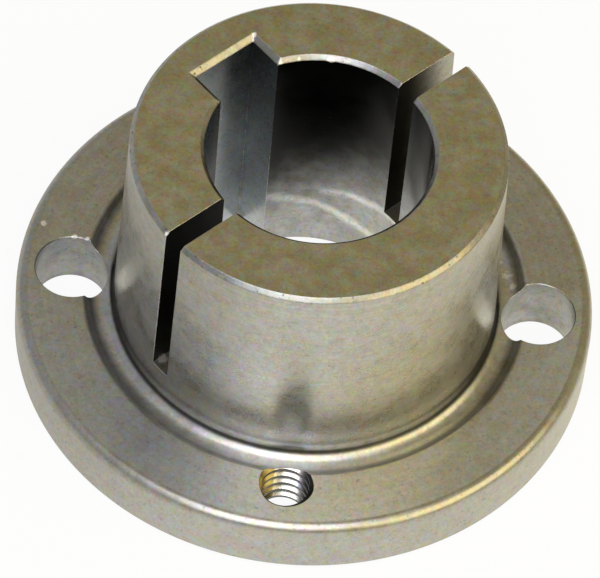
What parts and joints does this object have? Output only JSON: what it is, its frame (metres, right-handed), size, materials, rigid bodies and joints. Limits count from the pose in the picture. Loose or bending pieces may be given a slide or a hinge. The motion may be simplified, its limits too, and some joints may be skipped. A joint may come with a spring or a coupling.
{
  "type": "taper bush",
  "caption": "One-piece flanged taper bush with a keyed bore, a tapered barrel sawn through to clamp a shaft, and screw and jacking holes in its flange.",
  "frame": {"origin": "centre of the flange's back face, on the bore axis", "axes": "+Z along the bore towards the barrel's small end; the screw clearance holes lie on the X axis and the tapped jacking holes on the Y axis"},
  "size_m": [0.0635, 0.0634, 0.0327],
  "materials": {
    "machined_iron": "turned and lightly oiled, satin, with a fine sintered grain"
  },
  "bodies": {
    "root": {"taper_bush": "machined_iron"}
  },
  "joints": []
}
